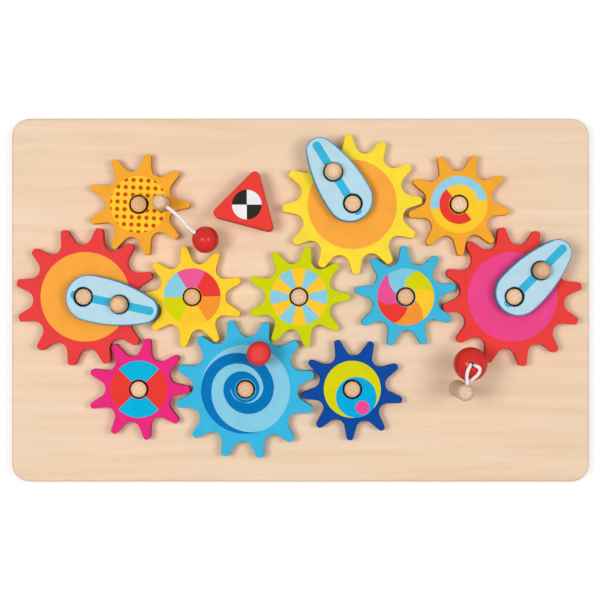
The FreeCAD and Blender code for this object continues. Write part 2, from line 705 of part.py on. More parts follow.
def make_post_and_ball():
    """The tall post, its ball and the doubled cord that loops through the post."""
    spot = lattice(POST_COLUMN, POST_ROW)
    rod = ("post_diameter", "post_length", "tall_end_round")
    post = make_dowel("post", *rod, spot, "post_foot", POST_BALL_DIRECTION)
    inmost = min(p[0] for p in POST_CORD_ROUTE)
    loop = new_sketch(post, "YZ_Plane", lift=f"{inmost} - cord_diameter / 2 - cord_clearance")
    loop.setExpression("AttachmentOffset.Base.y", bound("post_cord_middle - post_foot"))
    slot(loop, "post_cord_pitch", "cord_hole_diameter")
    pocket(post, loop, up=True)
    route = [(along, -across, up) for along, across, up in POST_CORD_ROUTE]
    make_cord("post_cord", route, spot, "post_cord_middle", POST_BALL_DIRECTION)
    ball = make_ball("post_ball", "post_ball_diameter")
    deepest = min(route[0][2], route[-1][2])
    lift = f"post_cord_middle + ({deepest}) - post_ball_height - cord_clearance"
    ends = new_sketch(ball, lift=lift)
    slot(ends, "cord_diameter + cord_clearance", "cord_hole_diameter")
    pocket(ball, ends, up=True)
    over = beside(spot, str(POST_BALL_DISTANCE), POST_BALL_DIRECTION)
    place(ball, over, "post_ball_height", POST_BALL_DIRECTION)


# ---------------------------------------------------------------- assembly, checks and export

make_board()
for name, kind, column, row, steps, half in GEARS:
    make_axle(name, kind, column, row)
    make_gear(name, kind, column, row, steps, half)
for name, gear, direction in CRANKS:
    make_crank(name, gear, direction)
make_knob()
make_block()
make_peg_and_ball()
make_post_and_ball()
doc.recompute()

for item in doc.Objects:
    if "Invalid" in item.State or "Error" in item.State:
        raise RuntimeError(f"{item.Label} is not sound: {item.State}")

pieces = [o for o in doc.Objects if o.TypeId in ("PartDesign::Body", "Part::Feature")]
pieces = [o for o in pieces if o.getParentGeoFeatureGroup() is None]
os.makedirs("parts", exist_ok=True)
for piece in pieces:
    shape = piece.Shape
    if shape.isNull() or not shape.isValid() or len(shape.Solids) != 1:
        raise RuntimeError(f"{piece.Label} is not one sound solid")
    shape.exportStep(f"parts/{piece.Label}.step")
print(f"{len(pieces)} pieces written")
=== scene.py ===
# %% [markdown]
# # A wooden board of crank gears
# The toy is a flat plywood board with eleven painted gears on dowel axles. Every gear, axle,
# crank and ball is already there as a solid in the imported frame, at its real size and place.
# Here those solids get their finish: prints on the gears, grain in the wood, lacquer on the
# balls and a braid on the cords. Blender works in metres, so sizes are written as
# millimetres times MM.

# %% The frame and the tools
import math

import bmesh
import bpy
from mathutils import Matrix, Vector


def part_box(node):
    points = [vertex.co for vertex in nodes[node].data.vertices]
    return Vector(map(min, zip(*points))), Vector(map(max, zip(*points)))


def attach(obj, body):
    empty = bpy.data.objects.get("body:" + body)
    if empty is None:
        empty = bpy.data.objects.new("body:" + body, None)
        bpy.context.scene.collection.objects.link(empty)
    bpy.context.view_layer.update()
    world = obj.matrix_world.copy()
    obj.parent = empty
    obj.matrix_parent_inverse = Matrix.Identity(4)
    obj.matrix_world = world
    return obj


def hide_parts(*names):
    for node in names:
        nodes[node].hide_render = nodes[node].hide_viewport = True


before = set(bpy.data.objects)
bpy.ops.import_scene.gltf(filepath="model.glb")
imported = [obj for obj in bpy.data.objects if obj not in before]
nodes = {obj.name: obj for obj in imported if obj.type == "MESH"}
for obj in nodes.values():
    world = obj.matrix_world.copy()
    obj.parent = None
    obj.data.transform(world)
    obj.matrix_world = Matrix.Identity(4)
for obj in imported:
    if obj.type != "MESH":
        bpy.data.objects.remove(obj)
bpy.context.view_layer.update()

MM = 0.001

# %% [markdown]
# ## Camera
# Seen straight from above, a flat toy shows every gear at its true shape. The camera hangs
# 0.8 m over the board's face, and its lens takes in about 363 mm there, so that the board
# nearly fills the picture.

# %% Camera
BOARD_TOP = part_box("board")[1].z
CAMERA_RISE = 0.8
VIEW_WIDTH = 363.26 * MM
CAMERA_X, CAMERA_Y = -0.33 * MM, 0.09 * MM
SENSOR_WIDTH = 36

camera_data = bpy.data.cameras.new("camera")
camera_data.sensor_width = SENSOR_WIDTH
camera_data.lens = SENSOR_WIDTH * CAMERA_RISE / VIEW_WIDTH
camera = bpy.data.objects.new("camera", camera_data)
camera.location = (CAMERA_X, CAMERA_Y, BOARD_TOP + CAMERA_RISE)
bpy.context.scene.collection.objects.link(camera)
bpy.context.scene.camera = camera
print("lens", round(camera_data.lens, 1), "mm")

# %% [markdown]
# ## Cords
# Each ball hangs on a white braided cord of 2 mm. A cord is one soft line through a few points,
# which a round bevel makes thick. The first cord runs from a cross hole in the tall peg to its
# ball. The second starts in its ball, goes through the post, turns back through the same hole
# and ends beside its own start, so the post wears a loop.

# %% Cords
CORD_THICK = 2.0 * MM
PEG_CORD_DROP = 5.0
POST_CORD_DROP = 5.05
POST_CORD_TURN = math.radians(74.6)
PEG_CORD_LENGTH, POST_CORD_LENGTH = 31.3, 48.0
# Millimetres from the peg's axis: along X, along Y and up.
PEG_CORD_ROUTE = [
    (1.0, -0.7, 0.0),
    (6.3, -4.3, 0.0),
    (12.0, -9.2, -1.6),
    (17.6, -16.4, -4.2),
    (23.75, -20.16, -7.31),
]
# Millimetres from the post's axis: towards the ball, to the right of that and up.
POST_CORD_ROUTE = [
    (16.6, -1.15, -1.3),
    (16.6, -1.15, 2.9),
    (13.2, -2.3, 4.85),
    (9.2, -2.0, 4.3),
    (5.4, 0.0, 2.25),
    (0.9, 0.0, 2.25),
    (0.9, 0.0, -2.25),
    (5.4, 0.0, -2.25),
    (8.6, 2.4, -0.3),
    (12.0, 4.6, 2.4),
    (16.1, 4.7, 4.2),
    (16.6, 1.15, 3.0),
    (16.6, 1.15, -0.6),
]


def hole_in(rod, drop):
    """The place on a rod's axis at a drop in millimetres below its top."""
    low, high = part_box(rod)
    return Vector(((low.x + high.x) / 2, (low.y + high.y) / 2, high.z - drop * MM))


def make_cord(name, start, route, turn, body, solid):
    """One smooth line through the points of a route, as thick as the cord."""
    line = bpy.data.curves.new(name, "CURVE")
    line.dimensions = "3D"
    # The bevel's depth is multiplied by the radius of every point, which is half the cord.
    line.bevel_depth = 1.0
    line.bevel_resolution = 6
    line.resolution_u = 12
    line.use_fill_caps = True
    spline = line.splines.new("NURBS")
    spline.points.add(len(route) - 1)
    facing = Matrix.Rotation(turn, 3, "Z")
    for point, (x, y, z) in zip(spline.points, route):
        point.co = (*(start + facing @ (Vector((x, y, z)) * MM)), 1)
        point.radius = CORD_THICK / 2
    spline.order_u = 3
    spline.use_endpoint_u = True
    cord = bpy.data.objects.new(name, line)
    bpy.context.scene.collection.objects.link(cord)
    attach(cord, body)
    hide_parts(solid)
    return cord


post_route = [(along, -across, up) for along, across, up in POST_CORD_ROUTE]
peg_braid = make_cord("peg_braid", hole_in("peg", PEG_CORD_DROP), PEG_CORD_ROUTE, 0,
                      "tall_peg_and_ball", "peg_cord")
post_braid = make_cord("post_braid", hole_in("post", POST_CORD_DROP), post_route, POST_CORD_TURN,
                       "tall_post_and_ball", "post_cord")
print("two cords of", CORD_THICK / MM, "mm")

# %% [markdown]
# ## Two helpers for materials
# Paint is chosen as a screen colour, which is stored with a curve. Shaders need the light that
# it stands for, so one function turns the hex code into linear values. The other adds a node,
# sets it and wires it, so that each material below reads as a short list of steps.

# %% Colour and node helpers
def linear(code):
    """A hex colour such as "F6A62D" as linear red, green, blue and alpha."""
    channels = [int(code[i : i + 2], 16) / 255 for i in (0, 2, 4)]
    return [c / 12.92 if c <= 0.04045 else ((c + 0.055) / 1.055) ** 2.4 for c in channels] + [1]


def wire(tree, node, sockets):
    """Sets sockets. Each takes a plain value, an output, or a node for its first output."""
    for name, value in sockets.items():
        if isinstance(value, bpy.types.Node):
            value = next(output for output in value.outputs if output.enabled)
        if isinstance(value, bpy.types.NodeSocket):
            tree.links.new(value, node.inputs[name])
        else:
            node.inputs[name].default_value = value


def add(tree, kind, sockets=None, stops=None, **settings):
    """Adds a node with its settings, its links and, for a colour ramp, its stops."""
    node = tree.nodes.new("ShaderNode" + kind)
    for name, value in settings.items():
        setattr(node, name, value)
    wire(tree, node, sockets or {})
    for count, (position, code) in enumerate(stops or []):
        elements = node.color_ramp.elements
        element = elements[count] if count < len(elements) else elements.new(position)
        element.position = position
        element.color = linear(code)
    return node


def new_material(name, **surface):
    """A material with one Principled shader. Its plain numbers are set on the shader itself."""
    material = bpy.data.materials.new(name)
    material.use_nodes = True
    tree = material.node_tree
    shader = tree.nodes["Principled BSDF"]
    wire(tree, shader, {socket.replace("_", " "): value for socket, value in surface.items()})
    return material, tree, shader


def coat(material, *solids):
    """Puts a material on solids, in place of the plain one that they came with."""
    for name in solids:
        nodes[name].data.materials.clear()
        nodes[name].data.materials.append(material)


# A colour mix has three kinds of sockets. These are its share and its two colours.
SHARE, UNDER, OVER = 0, 6, 7
print("orange lacquer in linear light:", [round(c, 3) for c in linear("F6A62D")])

# %% [markdown]
# ## Lamps
# Two soft lamps hang left and right, about 25 degrees off the vertical. Each throws a soft
# shadow to the other side, so a gear is dark along both flanks and none of its sides is black.
# Two weak, wide lamps in front and behind light the gaps between gears that stand close
# together.

# %% Lamps
LAMP_DISTANCE = 1.15
# Each lamp's bearing and its tilt off the vertical in degrees, its width in metres and its watts.
LAMPS = {
    "lamp_left": (180, 24, 0.36, 5.8),
    "lamp_right": (0, 28, 0.4, 4.5),
    "lamp_front": (270, 18, 0.8, 1.2),
    "lamp_back": (90, 18, 0.8, 1.2),
}

for name, (bearing, tilt, width, watts) in LAMPS.items():
    lamp_data = bpy.data.lights.new(name, "AREA")
    lamp_data.size = width
    lamp_data.energy = watts
    lamp = bpy.data.objects.new(name, lamp_data)
    leaned = Matrix.Rotation(math.radians(tilt), 4, "Y")
    around = Matrix.Rotation(math.radians(bearing), 4, "Z")
    lamp.matrix_world = around @ leaned @ Matrix.Translation((0, 0, LAMP_DISTANCE))
    bpy.context.scene.collection.objects.link(lamp)
print(len(LAMPS), "lamps at", LAMP_DISTANCE, "m")

# %% [markdown]
# ## Sky and paper floor
# The sky is a dim, almost even grey, like a studio whose walls send back a little of the lamps'
# light, and that fills the shadows. For the camera and in reflections, sky and paper floor are
# white. They give off no more light for that, and the floor still takes a soft shadow.

# %% Sky
SKY_AT_HORIZON, SKY_OVERHEAD = 0.14, 0.18


def seen_directly(tree):
    """1 for the camera, for reflections and for what is seen through glass, 0 for the light."""
    rays = add(tree, "LightPath").outputs
    seen = {0: rays["Is Camera Ray"], 1: rays["Is Glossy Ray"]}
    seen = add(tree, "Math", seen, operation="MAXIMUM")
    return add(tree, "Math", {0: seen, 1: rays["Is Transmission Ray"]}, operation="MAXIMUM")


sky = bpy.data.worlds.new("studio")
sky.use_nodes = True
bpy.context.scene.world = sky
direction = add(sky.node_tree, "TexCoord").outputs["Generated"]
rise = add(sky.node_tree, "SeparateXYZ", {"Vector": direction}).outputs["Z"]
fall = {"Value": rise, "To Min": SKY_AT_HORIZON, "To Max": SKY_OVERHEAD}
level = add(sky.node_tree, "MapRange", fall)
level = {0: level, 1: seen_directly(sky.node_tree)}
level = add(sky.node_tree, "Math", level, operation="MAXIMUM")
backdrop = sky.node_tree.nodes["Background"]
wire(sky.node_tree, backdrop, {"Color": (1, 1, 1, 1), "Strength": level})
print("sky from", SKY_AT_HORIZON, "to", SKY_OVERHEAD)

# %% Paper floor
FLOOR_SIZE = 6.0
PAPER_LIT, PAPER_SEEN, PAPER_GLOW = "EDEDED", "A8A8A8", 0.62

floor_mesh = bpy.data.meshes.new("floor")
sheet = bmesh.new()
bmesh.ops.create_grid(sheet, x_segments=1, y_segments=1, size=FLOOR_SIZE / 2)
sheet.to_mesh(floor_mesh)
sheet.free()
floor = bpy.data.objects.new("floor", floor_mesh)
bpy.context.scene.collection.objects.link(floor)

# Matte background paper. Lamps meet a pale grey, and the camera and every reflection a glowing
# one, whose glow and grey add up to white.
paper, tree, shader = new_material("background_paper", Roughness=1.0, Emission_Color=(1, 1, 1, 1))
direct = seen_directly(tree)
tone = {SHARE: direct, UNDER: linear(PAPER_LIT), OVER: linear(PAPER_SEEN)}
tone = add(tree, "Mix", tone, data_type="RGBA")
glow = add(tree, "Math", {0: direct, 1: PAPER_GLOW}, operation="MULTIPLY")
wire(tree, shader, {"Base Color": tone, "Emission Strength": glow})
floor_mesh.materials.append(paper)

bpy.context.scene.view_settings.view_transform = "Standard"
print("paper floor of", FLOOR_SIZE, "m")

# %% [markdown]
# ## Crisp edges become sanded edges
# A sawn edge of plywood is sanded before it is painted, so a thin line of light runs along it.
# The solids have sharp edges, and their meshes are loose triangles. A Weld modifier joins the
# triangles, a planar Decimate turns each flat face back into one piece, and a Bevel modifier
# that is limited by angle rounds only the real corners. The mesh itself stays as it is.

# %% Edge rounding
SHARP_ANGLE = math.radians(38)
FLAT_ANGLE = math.radians(0.5)
GEAR_EDGE, CRANK_EDGE = 0.45, 0.6
WELD_REACH = 0.002 * MM


def sand(radius, *solids):
    """Rounds the sharp edges of solids with a radius in millimetres."""
    for name in solids:
        weld = nodes[name].modifiers.new("joined", "WELD")
        weld.merge_threshold = WELD_REACH
        flatten = nodes[name].modifiers.new("flat faces", "DECIMATE")
        flatten.decimate_type = "DISSOLVE"
        flatten.angle_limit = FLAT_ANGLE
        bevel = nodes[name].modifiers.new("sanded", "BEVEL")
        bevel.width = radius * MM
        bevel.segments = 3
        bevel.limit_method = "ANGLE"
        bevel.angle_limit = SHARP_ANGLE
        bevel.use_clamp_overlap = False
        bevel.harden_normals = True


gears = [name for name in nodes if name.startswith("gear_")]
cranks = [name for name in nodes if name.startswith("crank_")]
sand(GEAR_EDGE, *gears)
sand(CRANK_EDGE, *cranks)
print(len(gears), "gears and", len(cranks), "cranks sanded")

# %% [markdown]
# ## Places in millimetres
# A print is easiest to draw by standing on a gear's axle and measuring from there. Object
# coordinates move with the piece, so the print turns with its gear. A Mapping node of the
# Texture type takes away a place, undoes a turn and divides by a scale, which makes metres in
# the frame into millimetres from the axle.

# %% Measuring on a piece
# How much a surface looks up: on a level top, at a rounded edge and on an upright side.
LEVEL, EDGE_RISE, SIDE_RISE = 0.95, 0.6, 0.15


def measured(tree, centre=(0, 0, 0), turn=0):
    """The place in millimetres from a point, with X along a direction in degrees."""
    frame_of = {"Location": centre, "Rotation": (0, 0, math.radians(turn)), "Scale": (MM, MM, MM)}
    place = add(tree, "TexCoord").outputs["Object"]
    return add(tree, "Mapping", {"Vector": place, **frame_of}, vector_type="TEXTURE")


def rise_of_surface(tree):
    """1 on a level top, 0 on an upright side, -1 underneath and something between on an edge."""
    normal = add(tree, "TexCoord").outputs["Normal"]
    return add(tree, "SeparateXYZ", {"Vector": normal}).outputs["Z"]


def faces_up(tree):
    """1 on a level top and 0 on sides and rounded edges."""
    return add(tree, "Math", {0: rise_of_surface(tree), 1: LEVEL}, operation="GREATER_THAN")


def faces_aside(tree):
    """1 on an upright side, fading to 0 over a rounded edge."""
    fading = {"Value": rise_of_surface(tree), "From Min": EDGE_RISE, "From Max": SIDE_RISE}
    return add(tree, "MapRange", fading)


def disc(tree, place, radius, centre=(0, 0, 0)):
    """1 within a radius of a point, both in millimetres."""
    away = add(tree, "VectorMath", {0: place, 1: centre}, operation="DISTANCE").outputs["Value"]
    return add(tree, "Math", {0: away, 1: radius}, operation="LESS_THAN")


def top_of(solid):
    """The middle of a solid's top."""
    low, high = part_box(solid)
    return ((low.x + high.x) / 2, (low.y + high.y) / 2, high.z)


print("the lime gear turns about", [round(v / MM, 1) for v in top_of("axle_lime_rays")])

# %% [markdown]
# ## Birch plywood under matt varnish
# The board is rotary-cut birch ply, pale cream, with long wavy streaks where the knife crossed
# the year rings and short fine pores in between. Its sawn edge shows five plies, long grain and
# end grain in turn, with dark glue lines. Noise that is stretched along X gives the streaks,
# and a slower noise bends them. The edge is drawn from the height alone.

# %% Board
PLY = 1.8
STREAK_LENGTH, STREAK_WIDTH, STREAK_BEND = 130, 7, 12
SLOW_ALONG, SLOW_ACROSS = 0.9, 0.11
PORE_LENGTH, PORE_WIDTH, PORE_DEPTH = 9, 0.7, 0.03
PORE_FROM, PORE_TO, PORE_DARKNESS = 0.64, 0.8, 0.3
FIBRES_PER_MM = 1.4
GLUE_SHARE = 0.09
# A surface that looks up or down less than this belongs to the sawn edge.
SIDE_BELOW = 0.35

# Birch plywood, peeled, sanded and varnished matt: pale, even and hardly glossy.
birch, tree, shader = new_material("birch_plywood", Roughness=0.5, Specular_IOR_Level=0.2)
place = measured(tree)
slow_scale = (SLOW_ALONG / STREAK_LENGTH, SLOW_ACROSS / STREAK_WIDTH, 0)
slow_place = add(tree, "VectorMath", {0: place, 1: slow_scale}, operation="MULTIPLY")
slow = add(tree, "TexNoise", {"Vector": slow_place, "Scale": 1, "Detail": 2}).outputs["Fac"]
lift = add(tree, "Math", {0: slow, 1: STREAK_BEND}, operation="MULTIPLY")
lift = add(tree, "CombineXYZ", {"Y": lift})
bent = add(tree, "VectorMath", {0: place, 1: lift}, operation="ADD")
streak_scale = (1 / STREAK_LENGTH, 1 / STREAK_WIDTH, 1 / STREAK_WIDTH)
streak_place = add(tree, "VectorMath", {0: bent, 1: streak_scale}, operation="MULTIPLY")
streak = {"Vector": streak_place, "Scale": 1, "Detail": 4, "Roughness": 0.62}
streak = add(tree, "TexNoise", streak)
shades = [(0.3, "E6C7A6"), (0.45, "EBCCAD"), (0.6, "EED1B4"), (0.75, "F1D8BE")]
veneer = add(tree, "ValToRGB", {"Fac": streak.outputs["Fac"]}, shades)
pore_scale = (1 / PORE_LENGTH, 1 / PORE_WIDTH, 1 / PORE_WIDTH)
pore_place = add(tree, "VectorMath", {0: bent, 1: pore_scale}, operation="MULTIPLY")
pore = add(tree, "TexNoise", {"Vector": pore_place, "Scale": 1, "Detail": 2}).outputs["Fac"]
pore_share = {"Value": pore, "From Min": PORE_FROM, "From Max": PORE_TO, "To Max": PORE_DARKNESS}
pore_share = add(tree, "MapRange", pore_share)
veneer = {SHARE: pore_share, UNDER: veneer, OVER: linear("CF9E72")}
veneer = add(tree, "Mix", veneer, data_type="RGBA")

height = add(tree, "SeparateXYZ", {"Vector": place}).outputs["Z"]
ply_count = add(tree, "Math", {0: height, 1: PLY}, operation="DIVIDE")
is_odd = add(tree, "Math", {0: ply_count, 1: 2}, operation="FLOORED_MODULO")
is_odd = add(tree, "Math", {0: is_odd, 1: 1}, operation="GREATER_THAN")
fibre = {"Vector": place, "Scale": FIBRES_PER_MM, "Detail": 3}
fibre = add(tree, "TexNoise", fibre).outputs["Fac"]
long_grain = add(tree, "ValToRGB", {"Fac": fibre}, [(0.3, "DDB98F"), (0.7, "EBCDA8")])
end_grain = add(tree, "ValToRGB", {"Fac": fibre}, [(0.3, "A67B4E"), (0.7, "C99E6F")])
edge = add(tree, "Mix", {SHARE: is_odd, UNDER: long_grain, OVER: end_grain}, data_type="RGBA")
in_ply = add(tree, "Math", {0: ply_count}, operation="FRACT")
is_glue = add(tree, "Math", {0: in_ply, 1: GLUE_SHARE}, operation="LESS_THAN")
edge = add(tree, "Mix", {SHARE: is_glue, UNDER: edge, OVER: linear("7F5833")}, data_type="RGBA")
level = add(tree, "Math", {0: rise_of_surface(tree)}, operation="ABSOLUTE")
is_side = add(tree, "Math", {0: level, 1: SIDE_BELOW}, operation="LESS_THAN")
wood = add(tree, "Mix", {SHARE: is_side, UNDER: veneer, OVER: edge}, data_type="RGBA")
relief = add(tree, "Bump", {"Height": pore, "Distance": PORE_DEPTH * MM, "Strength": 0.5})
wire(tree, shader, {"Base Color": wood, "Normal": relief})
coat(birch, "board")
print("plies of", PLY, "mm and streaks of", STREAK_WIDTH, "mm on the board")

# %% [markdown]
# ## Beech dowels
# Axles, handles and posts are beech rod, left bare. Along the rod, beech shows short brown
# flecks, which are its rays cut lengthwise. The sawn and tumbled end shows year rings with
# pores between them. The rings' centre lies beside the rod, because a rod is cut from a far
# bigger trunk, so each rod gets its own piece of the same wood. The rounded rim of the end is
# painted browner, as painted shade. Below its end, where a gear or a crank turns on it, the rod
# is painted dark as painted shade in the gap, and that makes the thin dark ring around it.

# %% Dowels
RING_PITCH = 2.4
SPECKLE, SPECKLE_DEPTH = 0.75, 0.05
RING_WOBBLE, WOBBLE_SCALE = 3.5, 0.4
RIM_INNER, RIM_OUTER = 2.6, 5.2
FLECK_LENGTH, FLECK_WIDTH = 2.2, 0.5
# The wood changes this much more slowly along the rod than across it.
ALONG = 0.02
SIDE_UP_TO, END_FROM = 0.35, 0.6
# Every rod is cut from another board, so each has its own tone and its own place in the trunk.
ROD_TONES = {
    "axle_orange_dots": "F5C791",
    "axle_yellow_pie": "EAC092",
    "axle_lime_rays": "E8CDAF",
    "axle_blue_swirl": "E9C3A0",
    "axle_orange_arcs": "F4DBBB",
    "axle_magenta_quarters": "F5D6B1",
    "axle_blue_spiral": "E5C2A0",
    "axle_navy_discs": "E6C5A3",
    "axle_red_orange": "E4C8A9",
    "axle_yellow_orange": "ECCEAD",
    "axle_red_pink": "EED3B1",
    "handle_left": "EBCCA5",
    "handle_top": "F1D9B6",
    "handle_right": "E1BB94",
    "peg": "EBCEAD",
    "post": "E6D0B8",
}


def faces_along(tree):
    """1 on a rod's domed end, fading to 0 on its side."""
    fading = {"Value": rise_of_surface(tree), "From Min": SIDE_UP_TO, "From Max": END_FROM}
    return add(tree, "MapRange", fading)


def beech(solid, tone, heart, shaded_from):
    """Bare beech, turned and tumbled: warm and matt, with its year rings round a heart."""
    wood, tree, shader = new_material("beech_" + solid, Roughness=0.55, Specular_IOR_Level=0.2)
    place = measured(tree, top_of(solid))
    from_heart = add(tree, "VectorMath", {0: place, 1: (*heart, 0)}, operation="ADD")
    trunk = add(tree, "VectorMath", {0: from_heart, 1: (1, 1, ALONG)}, operation="MULTIPLY")
    radius = add(tree, "VectorMath", {0: trunk}, operation="LENGTH").outputs["Value"]
    wobble = {"Vector": trunk, "Scale": WOBBLE_SCALE, "Detail": 3}
    wobble = add(tree, "TexNoise", wobble).outputs["Fac"]
    bent = {0: wobble, 1: RING_WOBBLE, 2: radius}
    radius = add(tree, "Math", bent, operation="MULTIPLY_ADD")
    ring = add(tree, "Math", {0: radius, 1: RING_PITCH}, operation="DIVIDE")
    ring = add(tree, "Math", {0: ring}, operation="FRACT")
    ring_shades = [(0.0, "FFFFFF"), (0.6, "FAF5F0"), (0.9, "F3E6DA"), (1.0, "FFFFFF")]
    ring = add(tree, "ValToRGB", {"Fac": ring}, ring_shades)
    speckle = {"Vector": trunk, "Scale": 1 / SPECKLE, "Detail": 3}
    speckle = add(tree, "TexNoise", speckle).outputs["Fac"]
    speckle_shades = [(0.34, "EADACA"), (0.48, "FAF6F2"), (0.62, "FFFFFF")]
    end = {SHARE: 1.0, UNDER: add(tree, "ValToRGB", {"Fac": speckle}, speckle_shades), OVER: ring}
    end = add(tree, "Mix", end, data_type="RGBA", blend_type="MULTIPLY")
    # The rounded rim is painted browner than the middle, as painted shade on the domed end.
    aside = add(tree, "VectorMath", {0: place, 1: (1, 1, 0)}, operation="MULTIPLY")
    aside = add(tree, "VectorMath", {0: aside}, operation="LENGTH").outputs["Value"]
    shaded_rim = {"Value": aside, "From Min": RIM_INNER, "From Max": RIM_OUTER}
    shaded_rim = {SHARE: add(tree, "MapRange", shaded_rim), UNDER: end, OVER: linear("E2C4A2")}
    end = add(tree, "Mix", shaded_rim, data_type="RGBA")

    fleck_scale = (1 / FLECK_WIDTH, 1 / FLECK_WIDTH, 1 / FLECK_LENGTH)
    fleck_place = add(tree, "VectorMath", {0: place, 1: fleck_scale}, operation="MULTIPLY")
    fleck = {"Vector": fleck_place, "Scale": 1, "Detail": 2}
    fleck = add(tree, "TexNoise", fleck).outputs["Fac"]
    fleck_shades = [(0.32, "E2CDB6"), (0.5, "FAF4EC"), (0.7, "FFFFFF")]
    side = add(tree, "ValToRGB", {"Fac": fleck}, fleck_shades)
    colour = {SHARE: faces_along(tree), UNDER: side, OVER: end}
    colour = add(tree, "Mix", colour, data_type="RGBA")
    tinted = {SHARE: 1.0, UNDER: colour, OVER: linear(tone)}
    colour = add(tree, "Mix", tinted, data_type="RGBA", blend_type="MULTIPLY")
    # Inside a bore the rod is painted dark, as painted shade in the gap around it.
    height = add(tree, "SeparateXYZ", {"Vector": place}).outputs["Z"]
    is_shaded = add(tree, "Math", {0: height, 1: -shaded_from}, operation="LESS_THAN")
    painted_shading = {SHARE: is_shaded, UNDER: colour, OVER: linear("3C2512")}
    colour = add(tree, "Mix", painted_shading, data_type="RGBA")
    relief = add(tree, "Bump", {"Height": speckle, "Distance": SPECKLE_DEPTH * MM, "Strength": 0.5})
    wire(tree, shader, {"Base Color": colour, "Normal": relief})
    coat(wood, solid)


# Millimetres below its end where each kind of rod's painted shade starts. Peg and post get none.
UNSHADED_ENDS = {"axle": 0.3, "handle": 7.8, "peg": 30, "post": 50}
# Each rod's heart lies at one of four distances, in millimetres, and some radians further round.
NEAREST_HEART, HEART_STEP, HEART_ANGLE = 14, 3, 2.4

for count, (rod, tone) in enumerate(ROD_TONES.items()):
    far, around = NEAREST_HEART + HEART_STEP * (count % 4), HEART_ANGLE * count
    heart = (far * math.cos(around), far * math.sin(around))
    beech(rod, tone, heart, shaded_from=UNSHADED_ENDS[rod.split("_")[0]])
print(len(ROD_TONES), "beech rods")

# %% [markdown]
# ## Lacquered gears
# A gear is sawn from 8 mm birch ply, sanded, sprayed with solid colour and then screen printed
# on its face. Under the thin paint the grain can just be felt, and on the sawn teeth the plies
# make faint ridges. The sawn sides are painted darker, as painted shade, and the bore wall near
# the axle is painted near black, as painted shade in the gap. A print may keep a little clear
# of the bore. One function gives this finish to any painted piece. The prints come as layers,
# and each layer is a mask and a colour that is laid over those before it.

# %% The lacquer
GRAIN_LENGTH, GRAIN_WIDTH, GRAIN_DEPTH = 24, 0.9, 0.03
FILM_SCALE = 0.12
# A ridge comes every so many millimetres, and its depth is a share of the grain's.
RIDGE, RIDGE_DEPTH = 1.6, 0.8
BORE_REACH = 6.5
# Shares of painted shade on the sawn sides and on the bore wall.
SIDE_SHADE = 0.35
BORE_SHADE = 0.82


def lacquer(solid, code, centre, turn=0, layers=None, hole=0, sawn=True, **surface):
    """Solid colour sprayed on wood. On a piece sawn from ply, layers are printed on the level
    top, outside of a hole with a radius in millimetres."""
    look = {"Roughness": 0.5, "Specular_IOR_Level": 0.03, **surface}
    wood = "birch_" if sawn else "beech_"
    material, tree, shader = new_material("lacquered_" + wood + solid, **look)
    place = measured(tree, centre, turn)
    flat = add(tree, "VectorMath", {0: place, 1: (1, 1, 0)}, operation="MULTIPLY")
    grain_scale = (1 / GRAIN_LENGTH, 1 / GRAIN_WIDTH, 0)
    grain_place = add(tree, "VectorMath", {0: place, 1: grain_scale}, operation="MULTIPLY")
    grain = add(tree, "TexNoise", {"Vector": grain_place, "Scale": 1, "Detail": 3}).outputs["Fac"]
    film = {"Vector": place, "Scale": FILM_SCALE, "Detail": 4}
    film = add(tree, "TexNoise", film).outputs["Fac"]
    top = faces_up(tree) if sawn else 1.0
    beside = add(tree, "Math", {0: 1.0, 1: top}, operation="SUBTRACT")
    if hole:
        kept_clear = disc(tree, flat, hole)
        top = add(tree, "Math", {0: top, 1: kept_clear}, operation="GREATER_THAN")

    colour = linear(code)
    for mask, ink in layers(tree, flat if sawn else place) if layers else []:
        share = add(tree, "Math", {0: mask, 1: top}, operation="MULTIPLY")
        colour = add(tree, "Mix", {SHARE: share, UNDER: colour, OVER: ink}, data_type="RGBA")
    if sawn:
        # A sawn side is painted darker and browner, as painted shade on the upright sides.
        side = faces_aside(tree)
        side_shade_share = add(tree, "Math", {0: side, 1: SIDE_SHADE}, operation="MULTIPLY")
        painted_side_shade = {SHARE: side_shade_share, UNDER: colour, OVER: linear("6B4A30")}
        colour = add(tree, "Mix", painted_side_shade, data_type="RGBA")
        # The bore wall is painted near black, as painted shade in the gap around the axle.
        bore = add(tree, "Math", {0: disc(tree, flat, BORE_REACH), 1: side}, operation="MULTIPLY")
        bore = add(tree, "Math", {0: bore, 1: BORE_SHADE}, operation="MULTIPLY")
        painted_bore_shade = {SHARE: bore, UNDER: colour, OVER: linear("2A180C")}
        colour = add(tree, "Mix", painted_bore_shade, data_type="RGBA")
    # Thick and thin places of the film differ by a few percent in depth of colour.
    film = add(tree, "ValToRGB", {"Fac": film}, [(0.3, "F6F6F6"), (0.7, "FFFFFF")])
    tinted = {SHARE: 1.0, UNDER: colour, OVER: film}
    colour = add(tree, "Mix", tinted, data_type="RGBA", blend_type="MULTIPLY")

    height = add(tree, "SeparateXYZ", {"Vector": place}).outputs["Z"]
    ridge = add(tree, "Math", {0: height, 1: math.tau / RIDGE}, operation="MULTIPLY")
    ridge = add(tree, "Math", {0: ridge}, operation="SINE")
    ridge = add(tree, "Math", {0: ridge, 1: beside}, operation="MULTIPLY")
    depth = {0: ridge, 1: RIDGE_DEPTH, 2: grain}
    depth = add(tree, "Math", depth, operation="MULTIPLY_ADD")
    relief = add(tree, "Bump", {"Height": depth, "Distance": GRAIN_DEPTH * MM, "Strength": 0.6})
    wire(tree, shader, {"Base Color": colour, "Normal": relief})
    coat(material, solid)


print("grain lines of", GRAIN_WIDTH, "mm under the lacquer")

# %% [markdown]
# ## Large gears with a sun
# Three of the four large gears wear one big disc, a sun whose rays are the teeth. Under the
# discs nothing else is printed, so their layer is a single mask.

